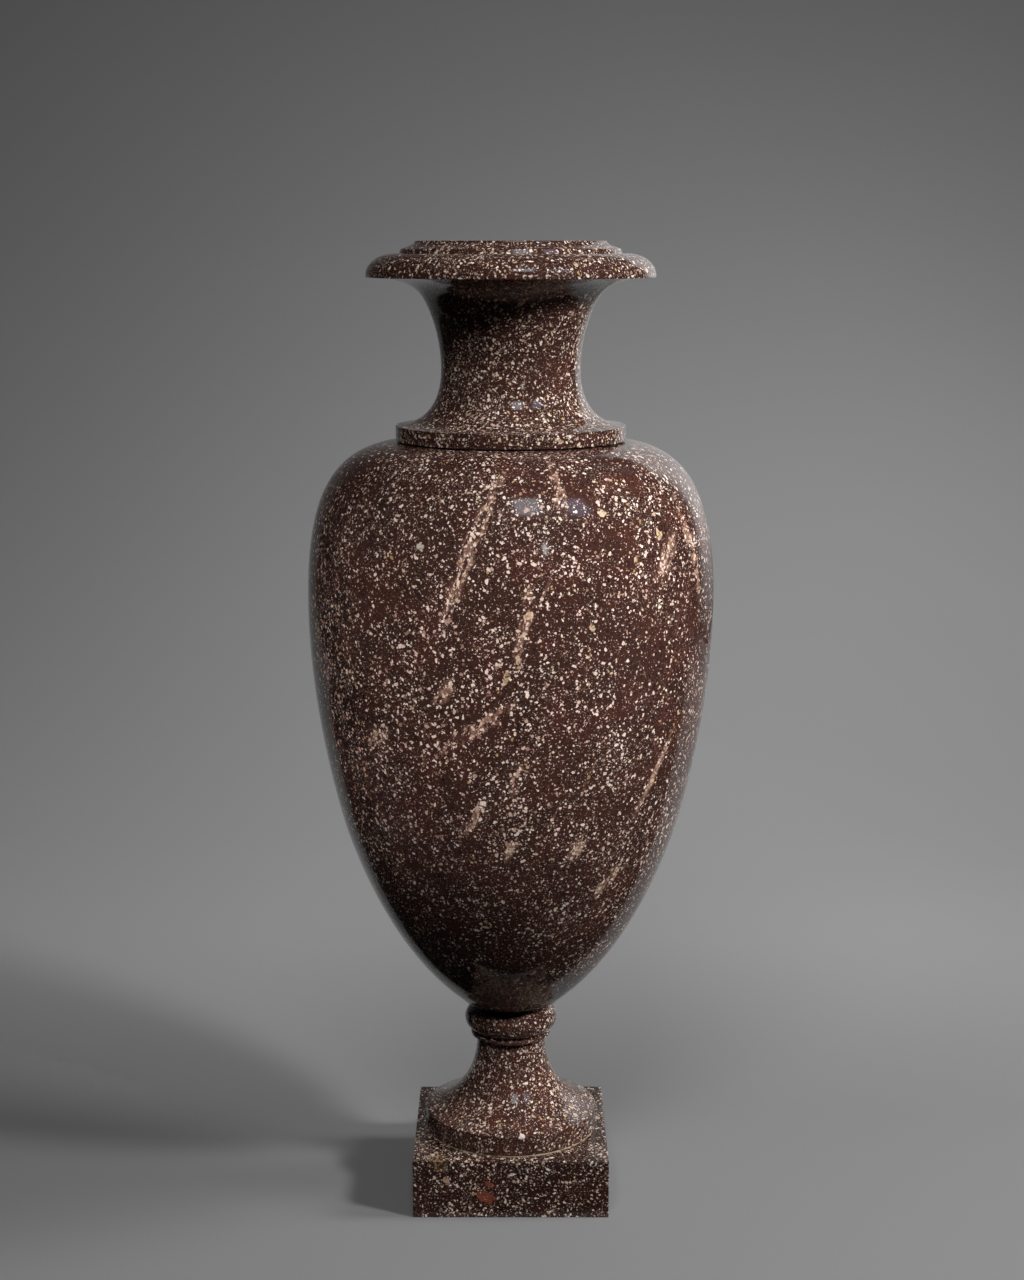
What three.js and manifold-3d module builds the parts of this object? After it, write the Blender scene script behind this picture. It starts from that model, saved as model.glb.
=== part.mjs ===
// A porphyry vase on a square plinth: turned foot, hollow egg-shaped body, bored neck and flared lip.
// Millimetres, +Z up. The origin is on the ground under the middle of the plinth.
// The stones stand on each other on thin bedding joints, and a threaded rod clamps plinth, foot and body.
import * as THREE from "three";
import { mergeVertices } from "three/addons/utils/BufferGeometryUtils.js";
import Module from "manifold-3d";

// Plinth
const plinthWidth = 130;
const plinthHeight = 39.5;
const plinthArris = 0.7; // bevel along the top and bottom edges
const recessDepth = 18; // counterbore underneath, for washer and nut
const recessClearance = 8; // room round the washer for a spanner

// Bedding joints between the stones
const jointThickness = 0.8;
const footJointSetback = 0.4; // the putty under the foot fills the joint almost to the edge
const bodyJointSetback = 1;
const collarJointSetback = 1.8; // leaves the dark line under the collar

// Foot, from its disc up to the seat for the body
const footDiscRadius = 58.3;
const footDiscHeight = 13.5;
const footArris = 0.5;
const flareHeight = 49.7;
const flareStartAngle = 18.7; // slope of the flare where it leaves the disc, degrees above level
const flareReach = [24, 24.4]; // how far the curve keeps its first and last direction
const stemRadius = 23;
const stemFilletRadius = 27.1;
const stemFilletHeight = 2.3;
const stemCoveHeight = 2.5; // hollow under the fillet
const quirkDepth = 1.7; // groove between fillet and bead
const quirkHeight = 1.3;
const beadRadius = 8.6; // radius of the bead's round section
const beadOuterRadius = 31.2;
const seatRadius = 20.5;
const seatHeight = 2.1;

// Body, heights counted from its lower arris
const bodyArrisRadius = 34.3;
const bodyArrisBand = 0.8; // narrow polished band at the arris
const undersideDepth = 1.1; // how far the flat underside lies below the arris
const bossHeight = 2.9; // from the underside to the joint
const flankRadius = 109.1; // where the steep lower flank turns into the side
const flankHeight = 117.6;
const flankAngle = 71.1; // slope there, degrees above level
const flankReach = [46.4, 13.6];
const bodyArrisAngle = 37.9; // slope of the body where it leaves the arris
const bodyArrisReach = 45.9;
const bellyRadius = 133.4;
const bellyHeight = 272.9;
const bellyReach = [71.7, 62];
const shoulderHeight = 377.8;
const shoulderRadius = 67.5; // from here inwards the shoulder is flat
const shoulderReach = 53.9;
const bodyWall = 14;
const floorThickness = 20.6;
const mouthRadius = 50; // hole in the shoulder under the collar

// Neck, heights counted from the top of its collar
const collarRadius = 74.9;
const collarHeight = 9.5;
const collarReach = 17.6;
const waistRadius = 45.2;
const waistHeight = 36.2;
const waistReach = [23.8, 16.1];
const throatRadius = 54.6; // where the neck starts to spread under the lip
const throatHeight = 77.9;
const throatAngle = 64.8;
const throatReach = [12.2, 10.7];
const soffitRadius = 82.4; // from here outwards the lip's underside is flat
const soffitHeight = 94.6;
const soffitAngle = 8.8;
const soffitReach = 16.8;
const boreRadius = 33;
const spigotLength = 8;
const spigotClearance = 0.6;

// Lip and the stepped rim on top of it
const lipRadius = 93.4;
const lipHeight = 15.2;
const lipTopRadius = 74.6;
const lipEdgeHeight = 1.2; // upright band at the lip's lower edge
const rimFilletRadius = 71.7;
const rimFilletTopRadius = 70.7;
const rimFilletHeight = 2.8;
const rimTopRadius = 61.4;
const rimCoveHeight = 5.1;
const rimMouthRadius = 50;
const rimMouthDrop = 46; // depth of the flare inside the mouth

// Clamping rod, washers and nuts
const rodRadius = 5;
const rodChamfer = 0.8;
const rodStandOut = 4; // how far the rod passes each nut
const threadClearance = 0.3;
const washerBoreClearance = 0.5;
const stoneBoreClearance = 0.8;
const washerRadius = 15;
const washerThickness = 2.5;
const nutAcrossFlats = 17;
const nutHeight = 8;
const nutCornerDrop = 0.9; // height of the chamfer at the nut's corners

// Fineness of the turned shapes
const stoneSides = 48;
const footSides = 40;
const metalSides = 24;

// Heights of the joints, worked out by stacking the pieces
const footBottom = plinthHeight + jointThickness;
const discTop = footBottom + footDiscHeight;
const stemTop = discTop + flareHeight;
const filletTop = stemTop + stemCoveHeight + stemFilletHeight;
const beadCentreHeight = filletTop + quirkHeight + Math.sqrt(beadRadius ** 2 - quirkFloorOffset() ** 2);
const footTop = beadCentreHeight + beadRadius + seatHeight;
const bodyBottom = footTop + jointThickness;
const arrisHeight = bodyBottom + bossHeight + undersideDepth;
const bodyTop = arrisHeight + shoulderHeight;
const floorTop = bodyBottom + floorThickness;
const neckBottom = bodyTop + jointThickness;
const collarTop = neckBottom + collarHeight;
const soffit = collarTop + soffitHeight;
const lipTop = soffit + lipHeight;
const rimTop = lipTop + rimFilletHeight + rimCoveHeight;
const stoneBoreRadius = rodRadius + stoneBoreClearance;

// Distance from the bead's centre line to the groove's floor, measured outwards
function quirkFloorOffset() {
  return stemFilletRadius - quirkDepth - (beadOuterRadius - beadRadius);
}

const wasm = await Module();
wasm.setup();

const at = (radius, height) => new THREE.Vector2(radius, height);

function heading(degrees) {
  const angle = THREE.MathUtils.degToRad(degrees);
  return at(Math.cos(angle), Math.sin(angle));
}

// A smooth stretch of outline that leaves one point and reaches another in given directions
function bend(start, startAngle, startReach, end, endAngle, endReach) {
  const first = start.clone().addScaledVector(heading(startAngle), startReach);
  const last = end.clone().addScaledVector(heading(endAngle), -endReach);
  return new THREE.CubicBezierCurve(start, first, last, end);
}

function arc(centre, radius, fromDegrees, toDegrees, steps) {
  const points = [];
  for (let i = 0; i <= steps; i++) {
    const angle = fromDegrees + ((toDegrees - fromDegrees) * i) / steps;
    points.push(centre.clone().addScaledVector(heading(angle), radius));
  }
  return points;
}

// Points along several bends in a row, without the doubled joints
function pointsAlong(bends, steps) {
  const points = [];
  bends.forEach((curve, i) => points.push(...curve.getPoints(steps[i]).slice(i === 0 ? 0 : 1)));
  return points;
}

// The same bends moved inwards by a wall's thickness
function pointsInside(bends, steps, wall) {
  const points = [];
  bends.forEach((curve, i) => {
    for (let k = i === 0 ? 0 : 1; k <= steps[i]; k++) {
      const along = curve.getTangent(k / steps[i]);
      points.push(curve.getPoint(k / steps[i]).add(at(-along.y * wall, along.x * wall)));
    }
  });
  return points;
}

// Turns a closed outline, listed up the outside and down the inside, round the upright axis
function turned(outline, sides) {
  const geometry = new THREE.LatheGeometry([...outline, outline[0]], sides);
  return geometry.rotateX(Math.PI / 2);
}

function ring(innerRadius, outerRadius, bottom, top, sides) {
  return turned(
    [at(innerRadius, bottom), at(outerRadius, bottom), at(outerRadius, top), at(innerRadius, top)],
    sides,
  );
}

function solidFrom(geometry) {
  const bare = geometry.clone();
  bare.deleteAttribute("normal");
  bare.deleteAttribute("uv");
  const merged = mergeVertices(bare, 1e-4);
  return new wasm.Manifold(
    new wasm.Mesh({
      numProp: 3,
      vertProperties: new Float32Array(merged.attributes.position.array),
      triVerts: new Uint32Array(merged.index.array),
    }),
  );
}

function geometryFrom(solid) {
  const mesh = solid.getMesh();
  const geometry = new THREE.BufferGeometry();
  geometry.setAttribute("position", new THREE.BufferAttribute(mesh.vertProperties, 3));
  geometry.setIndex(new THREE.BufferAttribute(mesh.triVerts, 1));
  geometry.computeVertexNormals();
  return geometry;
}

function plug(radius, bottom, top, sides) {
  return turned([at(0, bottom), at(radius, bottom), at(radius, top), at(0, top)], sides);
}

// Materials
const porphyry = () => new THREE.MeshStandardMaterial({ color: 0x5a3a34, roughness: 0.22, metalness: 0 });
const putty = () => new THREE.MeshStandardMaterial({ color: 0xb9a67e, roughness: 0.9, metalness: 0 });
const iron = () => new THREE.MeshStandardMaterial({ color: 0x6e6c69, roughness: 0.5, metalness: 1 });

function plinthShape() {
  const half = plinthWidth / 2 - plinthArris;
  const square = new THREE.Shape([at(-half, -half), at(half, -half), at(half, half), at(-half, half)]);
  const block = new THREE.ExtrudeGeometry(square, {
    depth: plinthHeight - 2 * plinthArris,
    bevelThickness: plinthArris,
    bevelSize: plinthArris,
    bevelSegments: 1,
  }).translate(0, 0, plinthArris);
  const bore = plug(stoneBoreRadius, -1, plinthHeight + 1, metalSides);
  const recess = plug(washerRadius + recessClearance, -1, recessDepth, metalSides);
  return geometryFrom(solidFrom(block).subtract(solidFrom(bore)).subtract(solidFrom(recess)));
}

// The foot: disc, flare, cove and fillet under the bead, the bead itself, and the seat
function footShape() {
  const beadAxisRadius = beadOuterRadius - beadRadius;
  const quirkFloor = stemFilletRadius - quirkDepth;
  const quirkDrop = beadCentreHeight - filletTop - quirkHeight;
  const quirkAngle = -THREE.MathUtils.radToDeg(Math.asin(quirkDrop / beadRadius));
  const coveDepth = stemFilletRadius - stemRadius;
  const flare = bend(
    at(footDiscRadius, discTop), 180 - flareStartAngle, flareReach[0],
    at(stemRadius, stemTop), 90, flareReach[1],
  );
  const cove = bend(
    at(stemRadius, stemTop), 90, stemCoveHeight / 2,
    at(stemFilletRadius, stemTop + stemCoveHeight), 0, coveDepth / 2,
  );
  return turned(
    [
      at(stoneBoreRadius, footBottom),
      at(footDiscRadius - footArris, footBottom),
      at(footDiscRadius, footBottom + footArris),
      ...pointsAlong([flare, cove], [11, 3]),
      at(stemFilletRadius, filletTop),
      at(quirkFloor, filletTop),
      ...arc(at(beadAxisRadius, beadCentreHeight), beadRadius, quirkAngle, 90, 9),
      at(seatRadius, beadCentreHeight + beadRadius),
      at(seatRadius, footTop),
      at(stoneBoreRadius, footTop),
    ],
    footSides,
  );
}

function bodyBends() {
  const arris = at(bodyArrisRadius, arrisHeight);
  const flank = at(flankRadius, arrisHeight + flankHeight);
  const belly = at(bellyRadius, arrisHeight + bellyHeight);
  const shoulder = at(shoulderRadius, bodyTop);
  return [
    bend(arris, bodyArrisAngle, bodyArrisReach, flank, flankAngle, flankReach[0]),
    bend(flank, flankAngle, flankReach[1], belly, 90, bellyReach[0]),
    bend(belly, 90, bellyReach[1], shoulder, 180, shoulderReach),
  ];
}

// The body is a shell: its inside follows the outside at the wall's thickness, down to a flat floor
function bodyShape() {
  const bends = bodyBends();
  const underside = arrisHeight - undersideDepth;
  const inside = pointsInside(bends, [6, 5, 7], bodyWall).filter((point) => point.y > floorTop + 1);
  const ceiling = bodyTop - bodyWall;
  const slope = Math.tan(THREE.MathUtils.degToRad(bodyArrisAngle));
  const floorEdge = inside[0].x - (inside[0].y - floorTop) / slope;
  return turned(
    [
      at(stoneBoreRadius, bodyBottom),
      at(seatRadius, bodyBottom),
      at(seatRadius, underside),
      at(bodyArrisRadius - bodyArrisBand, underside),
      ...pointsAlong(bends, [8, 7, 10]),
      at(mouthRadius, bodyTop),
      at(mouthRadius, ceiling),
      ...inside.reverse(),
      at(floorEdge, floorTop),
      at(stoneBoreRadius, floorTop),
    ],
    stoneSides,
  );
}

// The neck: spigot, collar, concave neck, flared lip with its quarter round, and the stepped rim
function neckShape() {
  const waist = at(waistRadius, collarTop + waistHeight);
  const throat = at(throatRadius, collarTop + throatHeight);
  const neckBends = [
    bend(at(collarRadius, collarTop), 179, collarReach, waist, 90, waistReach[0]),
    bend(waist, 90, waistReach[1], throat, throatAngle, throatReach[0]),
    bend(throat, throatAngle, throatReach[1], at(soffitRadius, soffit), soffitAngle, soffitReach),
  ];
  const roundStart = at(lipRadius, soffit + lipEdgeHeight);
  const lipRound = bend(
    roundStart, 90, (lipHeight - lipEdgeHeight) * 0.56,
    at(lipTopRadius, lipTop), 180, (lipRadius - lipTopRadius) * 0.56,
  );
  const rimCove = bend(
    at(rimFilletTopRadius, lipTop + rimFilletHeight), 160, (rimFilletTopRadius - rimTopRadius) * 0.5,
    at(rimTopRadius, rimTop), 100, rimCoveHeight * 0.5,
  );
  const mouth = bend(
    at(rimMouthRadius, rimTop), -100, rimMouthDrop * 0.3,
    at(boreRadius, rimTop - rimMouthDrop), -90, rimMouthDrop * 0.5,
  );
  const spigotRadius = mouthRadius - spigotClearance;
  return turned(
    [
      at(boreRadius, neckBottom - spigotLength),
      at(spigotRadius, neckBottom - spigotLength),
      at(spigotRadius, neckBottom),
      at(collarRadius, neckBottom),
      ...pointsAlong(neckBends, [7, 5, 5]),
      at(lipRadius, soffit),
      ...pointsAlong([lipRound], [6]),
      at(rimFilletRadius, lipTop),
      ...pointsAlong([rimCove], [4]),
      ...pointsAlong([mouth], [6]),
    ],
    stoneSides,
  );
}

function rodShape() {
  const bottom = recessDepth - washerThickness - nutHeight - rodStandOut;
  const top = floorTop + washerThickness + nutHeight + rodStandOut;
  const tip = rodRadius - rodChamfer;
  return turned(
    [
      at(0, bottom),
      at(tip, bottom),
      at(rodRadius, bottom + rodChamfer),
      at(rodRadius, top - rodChamfer),
      at(tip, top),
      at(0, top),
    ],
    metalSides,
  );
}

function washerShape(bottom) {
  return ring(rodRadius + washerBoreClearance, washerRadius, bottom, bottom + washerThickness, metalSides);
}

// A hexagon nut, its corners chamfered above and below
function nutShape(bottom) {
  const cornerRadius = nutAcrossFlats / 2 / Math.cos(Math.PI / 6);
  const corners = arc(at(0, 0), cornerRadius, 0, 300, 5);
  const hexagon = new THREE.ExtrudeGeometry(new THREE.Shape(corners), {
    depth: nutHeight,
    bevelEnabled: false,
  });
  const chamfered = turned(
    [
      at(0, 0),
      at(nutAcrossFlats / 2, 0),
      at(cornerRadius, nutCornerDrop),
      at(cornerRadius, nutHeight - nutCornerDrop),
      at(nutAcrossFlats / 2, nutHeight),
      at(0, nutHeight),
    ],
    metalSides,
  );
  const bore = plug(rodRadius + threadClearance, -1, nutHeight + 1, metalSides);
  const nut = solidFrom(hexagon).intersect(solidFrom(chamfered)).subtract(solidFrom(bore));
  return geometryFrom(nut).translate(0, 0, bottom);
}

const vase = new THREE.Group();

function add(name, geometry, material) {
  const mesh = new THREE.Mesh(geometry, material);
  mesh.name = name;
  vase.add(mesh);
}

add("plinth", plinthShape(), porphyry());
const footJointRadius = footDiscRadius - footJointSetback;
const footJoint = ring(stoneBoreRadius, footJointRadius, plinthHeight, footBottom, footSides);
add("foot_bedding", footJoint, putty());
add("foot", footShape(), porphyry());
const bodyJointRadius = seatRadius - bodyJointSetback;
const bodyJoint = ring(stoneBoreRadius, bodyJointRadius, footTop, bodyBottom, metalSides);
add("body_bedding", bodyJoint, putty());
add("body", bodyShape(), porphyry());
const collarJointRadius = collarRadius - collarJointSetback;
const collarJoint = ring(mouthRadius, collarJointRadius, bodyTop, neckBottom, stoneSides);
add("neck_bedding", collarJoint, putty());
add("neck", neckShape(), porphyry());
add("tie_rod", rodShape(), iron());
add("lower_washer", washerShape(recessDepth - washerThickness), iron());
add("lower_nut", nutShape(recessDepth - washerThickness - nutHeight), iron());
add("upper_washer", washerShape(floorTop), iron());
add("upper_nut", nutShape(floorTop + washerThickness), iron());

export default vase;
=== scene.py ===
import math

import bpy
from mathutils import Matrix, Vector, noise


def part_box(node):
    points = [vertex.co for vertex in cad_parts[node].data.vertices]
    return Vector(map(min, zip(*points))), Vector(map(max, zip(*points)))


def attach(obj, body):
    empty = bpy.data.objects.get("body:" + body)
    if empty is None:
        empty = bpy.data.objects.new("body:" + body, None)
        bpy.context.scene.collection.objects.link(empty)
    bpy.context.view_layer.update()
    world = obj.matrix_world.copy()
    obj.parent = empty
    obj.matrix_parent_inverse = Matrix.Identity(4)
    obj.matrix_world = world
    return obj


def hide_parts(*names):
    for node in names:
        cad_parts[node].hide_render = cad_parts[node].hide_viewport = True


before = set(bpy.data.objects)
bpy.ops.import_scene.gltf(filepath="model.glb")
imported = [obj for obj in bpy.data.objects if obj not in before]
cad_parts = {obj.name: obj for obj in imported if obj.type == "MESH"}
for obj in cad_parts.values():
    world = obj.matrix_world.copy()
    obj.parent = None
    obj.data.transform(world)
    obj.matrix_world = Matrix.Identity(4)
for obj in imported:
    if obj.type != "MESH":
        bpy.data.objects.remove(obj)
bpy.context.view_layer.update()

mm = 0.001
cornerSteps = 4
cornerShare = 0.45  # of the shorter side, at most, goes into a worn corner


# outlines: a point is (radius, height, worn), worn being how far its corner is rubbed back

def heading(degrees):
    angle = math.radians(degrees)
    return Vector((math.cos(angle), math.sin(angle)))


def bend(start, startAngle, startReach, end, endAngle, endReach, steps):
    # leaves one point and reaches the next in the given directions
    start, end = Vector(start), Vector(end)
    first = start + heading(startAngle) * startReach
    last = end - heading(endAngle) * endReach
    points = []
    for i in range(steps + 1):
        t = i / steps
        s = 1 - t
        points.append(s ** 3 * start + 3 * s * s * t * first + 3 * s * t * t * last + t ** 3 * end)
    return points


def arc(centre, radius, fromAngle, toAngle, steps):
    turns = [fromAngle + (toAngle - fromAngle) * i / steps for i in range(steps + 1)]
    return [Vector(centre) + heading(turn) * radius for turn in turns]


def inwards(points, wall):
    # the same stretch moved in by the wall's thickness
    moved = []
    for i, point in enumerate(points):
        along = (points[min(i + 1, len(points) - 1)] - points[max(i - 1, 0)]).normalized()
        moved.append(point + Vector((-along.y, along.x)) * wall)
    return moved


def worn(corners):
    # rubs the corners of a closed outline, in which a curve is a list of points
    flat = []
    for item in corners:
        flat += [(p.x, p.y, 0.0) for p in item] if isinstance(item, list) else [item]
    tidy = [p for i, p in enumerate(flat) if (Vector(p[:2]) - Vector(flat[i - 1][:2])).length > 1e-4]
    points = []
    for i, (x, z, rub) in enumerate(tidy):
        here = Vector((x, z))
        if rub == 0:
            points.append(here)
            continue
        before = Vector(tidy[i - 1][:2]) - here
        after = Vector(tidy[(i + 1) % len(tidy)][:2]) - here
        cut = min(rub, before.length * cornerShare, after.length * cornerShare)
        a, b = here + before.normalized() * cut, here + after.normalized() * cut
        for k in range(cornerSteps + 1):
            t = k / cornerSteps
            points.append((1 - t) ** 2 * a + 2 * t * (1 - t) * here + t * t * b)
    return points


# lowest and highest point of each piece, from the frame, in millimetres
seats = {name: [corner[2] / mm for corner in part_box(name)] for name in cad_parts}

foot = {
    "discRadius": 58.3, "discHeight": 13.5, "discWorn": 0.45,
    "flareHeight": 49.7, "flareSlope": 18.7, "flareReach": (24.0, 24.4),
    "stemRadius": 23.0, "coveHeight": 2.5,
    "filletRadius": 27.1, "filletHeight": 2.3, "filletWorn": 0.35,
    "quirkDepth": 1.7, "quirkHeight": 1.3,
    "beadRadius": 8.6, "beadOuterRadius": 31.2,
    "seatRadius": 20.5, "seatHeight": 2.1, "seatWorn": 0.3, "boreRadius": 5.8, "boreWorn": 0.3,
    "sides": 256, "nickDepth": 0.35,
}


def footOutline():
    f, bottom = foot, seats["foot"][0]
    discTop = bottom + f["discHeight"]
    stemTop = discTop + f["flareHeight"]
    filletBottom = stemTop + f["coveHeight"]
    filletTop = filletBottom + f["filletHeight"]
    beadAxis = f["beadOuterRadius"] - f["beadRadius"]
    quirkFloor = f["filletRadius"] - f["quirkDepth"]
    rise = math.sqrt(f["beadRadius"] ** 2 - (quirkFloor - beadAxis) ** 2)
    beadCentre = filletTop + f["quirkHeight"] + rise
    quirkAngle = -math.degrees(math.asin(rise / f["beadRadius"]))
    beadTop = beadCentre + f["beadRadius"]
    flare = bend((f["discRadius"], discTop), 180 - f["flareSlope"], f["flareReach"][0],
                 (f["stemRadius"], stemTop), 90, f["flareReach"][1], 44)
    cove = bend((f["stemRadius"], stemTop), 90, f["coveHeight"] / 2,
                (f["filletRadius"], filletBottom), 0, (f["filletRadius"] - f["stemRadius"]) / 2, 8)
    return worn([
        (f["boreRadius"], bottom, f["boreWorn"]), (f["discRadius"], bottom, f["discWorn"]),
        (f["discRadius"], discTop, f["discWorn"]), flare[1:], cove[1:-1],
        (f["filletRadius"], filletBottom, f["filletWorn"]), (f["filletRadius"], filletTop, f["filletWorn"]),
        (quirkFloor, filletTop, 0.0),
        arc((beadAxis, beadCentre), f["beadRadius"], quirkAngle, 90, 30),
        (f["seatRadius"], beadTop, 0.0), (f["seatRadius"], beadTop + f["seatHeight"], f["seatWorn"]),
        (f["boreRadius"], beadTop + f["seatHeight"], f["boreWorn"]),
    ])


body = {
    "arrisRadius": 34.3, "arrisBand": 0.8, "arrisWorn": 0.5, "undersideDepth": 1.1, "undersideWorn": 0.25,
    "bossHeight": 2.9, "arrisAngle": 37.9, "arrisReach": 45.9,
    "flankRadius": 109.1, "flankHeight": 117.6, "flankAngle": 71.1, "flankReach": (46.4, 13.6),
    "bellyRadius": 133.4, "bellyHeight": 272.9, "bellyReach": (71.7, 62.0),
    "shoulderRadius": 67.5, "shoulderHeight": 377.8, "shoulderReach": 53.9,
    "wall": 14.0, "floorThickness": 20.6, "floorGap": 1.0, "floorWorn": 2.0,
    "mouthRadius": 50.0, "mouthWorn": 0.6,
}


def bodyOutline():
    b, bottom = body, seats["body"][0]
    underside = bottom + b["bossHeight"]
    arris = underside + b["undersideDepth"]
    top = arris + b["shoulderHeight"]
    floorTop = bottom + b["floorThickness"]
    lowest = (b["arrisRadius"], arris)
    flank = (b["flankRadius"], arris + b["flankHeight"])
    belly = (b["bellyRadius"], arris + b["bellyHeight"])
    shoulder = (b["shoulderRadius"], top)
    outside = bend(lowest, b["arrisAngle"], b["arrisReach"], flank, b["flankAngle"], b["flankReach"][0], 34)
    outside += bend(flank, b["flankAngle"], b["flankReach"][1], belly, 90, b["bellyReach"][0], 30)[1:]
    outside += bend(belly, 90, b["bellyReach"][1], shoulder, 180, b["shoulderReach"], 40)[1:]
    inside = [p for p in inwards(outside[::2], b["wall"]) if p.y > floorTop + b["floorGap"]]
    floorEdge = inside[0].x - (inside[0].y - floorTop) / math.tan(math.radians(b["arrisAngle"]))
    return worn([
        (foot["boreRadius"], bottom, foot["boreWorn"]), (foot["seatRadius"], bottom, foot["seatWorn"]),
        (foot["seatRadius"], underside, 0.0),
        (b["arrisRadius"] - b["arrisBand"], underside, b["undersideWorn"]),
        (b["arrisRadius"], arris, b["arrisWorn"]), outside[1:],
        (b["mouthRadius"], top, b["mouthWorn"]), (b["mouthRadius"], top - b["wall"], b["mouthWorn"]),
        inside[::-1], (floorEdge, floorTop, b["floorWorn"]),
        (foot["boreRadius"], floorTop, foot["boreWorn"]),
    ])


neck = {
    "collarRadius": 74.9, "collarHeight": 9.5, "collarWorn": 0.45, "collarAngle": 179, "collarReach": 17.6,
    "waistRadius": 45.2, "waistHeight": 36.2, "waistReach": (23.8, 16.1),
    "throatRadius": 54.6, "throatHeight": 77.9, "throatAngle": 64.8, "throatReach": (12.2, 10.7),
    "soffitRadius": 82.4, "soffitHeight": 94.6, "soffitAngle": 8.8, "soffitReach": 16.8,
    "lipRadius": 93.4, "lipHeight": 15.2, "lipEdge": 1.2, "lipTopRadius": 74.6, "lipWorn": 0.5,
    "lipFullness": 0.56,
    "rimFilletRadius": 71.7, "rimFilletTop": 70.7, "rimFilletHeight": 2.8, "rimFilletWorn": 0.25,
    "rimTopRadius": 61.4, "rimCoveHeight": 5.1, "rimCoveAngles": (160, 100), "rimCoveFullness": 0.5,
    "rimWorn": 0.5,
    "mouthRadius": 50.0, "mouthDrop": 46.0, "mouthAngle": -100, "mouthFullness": (0.3, 0.5),
    "boreRadius": 33.0, "spigotLength": 8.0, "spigotClearance": 0.6, "spigotWorn": 0.4,
}


def neckOutline():
    n = neck
    spigotEnd = seats["neck"][0]
    bottom = spigotEnd + n["spigotLength"]
    collarTop = bottom + n["collarHeight"]
    soffit = collarTop + n["soffitHeight"]
    lipTop = soffit + n["lipHeight"]
    coveBottom = lipTop + n["rimFilletHeight"]
    rimTop = coveBottom + n["rimCoveHeight"]
    waist = (n["waistRadius"], collarTop + n["waistHeight"])
    throat = (n["throatRadius"], collarTop + n["throatHeight"])
    outside = bend((n["collarRadius"], collarTop), n["collarAngle"], n["collarReach"],
                   waist, 90, n["waistReach"][0], 34)
    outside += bend(waist, 90, n["waistReach"][1], throat, n["throatAngle"], n["throatReach"][0], 18)[1:]
    outside += bend(throat, n["throatAngle"], n["throatReach"][1],
                    (n["soffitRadius"], soffit), n["soffitAngle"], n["soffitReach"], 22)[1:]
    lipRise, lipRun = n["lipHeight"] - n["lipEdge"], n["lipRadius"] - n["lipTopRadius"]
    roundLip = bend((n["lipRadius"], soffit + n["lipEdge"]), 90, lipRise * n["lipFullness"],
                    (n["lipTopRadius"], lipTop), 180, lipRun * n["lipFullness"], 26)
    coveStart, coveEnd = n["rimCoveAngles"]
    coveRun, coveFullness = n["rimFilletTop"] - n["rimTopRadius"], n["rimCoveFullness"]
    rimCove = bend((n["rimFilletTop"], coveBottom), coveStart, coveRun * coveFullness,
                   (n["rimTopRadius"], rimTop), coveEnd, n["rimCoveHeight"] * coveFullness, 12)
    mouth = bend((n["mouthRadius"], rimTop), n["mouthAngle"], n["mouthDrop"] * n["mouthFullness"][0],
                 (n["boreRadius"], rimTop - n["mouthDrop"]), -90,
                 n["mouthDrop"] * n["mouthFullness"][1], 26)
    spigotRadius = body["mouthRadius"] - n["spigotClearance"]
    return worn([
        (n["boreRadius"], spigotEnd, n["spigotWorn"]), (spigotRadius, spigotEnd, n["spigotWorn"]),
        (spigotRadius, bottom, 0.0),
        (n["collarRadius"], bottom, n["collarWorn"]), (n["collarRadius"], collarTop, n["collarWorn"]),
        outside[1:], (n["lipRadius"], soffit, n["lipWorn"]), roundLip,
        (n["rimFilletRadius"], lipTop, 0.0), (n["rimFilletTop"], coveBottom, n["rimFilletWorn"]),
        rimCove[1:-1], (n["rimTopRadius"], rimTop, n["rimWorn"]),
        (n["mouthRadius"], rimTop, n["rimWorn"]), mouth[1:],
    ])


# the lathe: turns a closed outline round the upright axis and nicks its arrises

lathe = {
    "sides": 288, "hub": 1.0, "nickDepth": 0.7, "nickSpread": 90.0, "nickAmount": 0.64,
    "nickGain": 9.0, "nickAngles": (0.12, 0.3), "seed": 3.0,
}


def addSockets(tree, direction, kind, *names):
    for name in names:
        tree.interface.new_socket(name, in_out=direction, socket_type="NodeSocket" + kind)


def socketIds(tree):
    return {item.name: item.identifier for item in tree.interface.items_tree if item.in_out == "INPUT"}


def setInputs(tree, node, inputs):
    # an input takes either a plain value or what another node gives
    for name, value in inputs.items():
        if isinstance(value, bpy.types.NodeSocket):
            tree.links.new(value, node.inputs[name])
        else:
            node.inputs[name].default_value = value


def addNode(tree, kind, settings=None, inputs=None):
    made = tree.nodes.new(kind)
    for name, value in (settings or {}).items():
        setattr(made, name, value)
    setInputs(tree, made, inputs or {})
    return made


def maths(tree, operation, *values, clamp=False):
    settings = {"operation": operation, "use_clamp": clamp}
    return addNode(tree, "ShaderNodeMath", settings, dict(enumerate(values))).outputs[0]


def times(tree, a, b):
    return maths(tree, "MULTIPLY", a, b)


def vectorMaths(tree, operation, *values):
    made = addNode(tree, "ShaderNodeVectorMath", {"operation": operation}, dict(enumerate(values)))
    return made.outputs["Value" if operation == "LENGTH" else "Vector"]


def largest(tree, a, b, c):
    return maths(tree, "MAXIMUM", maths(tree, "MAXIMUM", a, b), c)


def scaled(tree, vector, factor):
    inputs = {0: vector, "Scale": factor}
    return addNode(tree, "ShaderNodeVectorMath", {"operation": "SCALE"}, inputs).outputs["Vector"]


def parted(tree, vector):
    return addNode(tree, "ShaderNodeSeparateXYZ", inputs={0: vector}).outputs


def between(tree, value, low, high, start=0.0, end=1.0):
    inputs = {"Value": value, 1: low, 2: high, 3: start, 4: end}
    return addNode(tree, "ShaderNodeMapRange", inputs=inputs).outputs[0]


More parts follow.
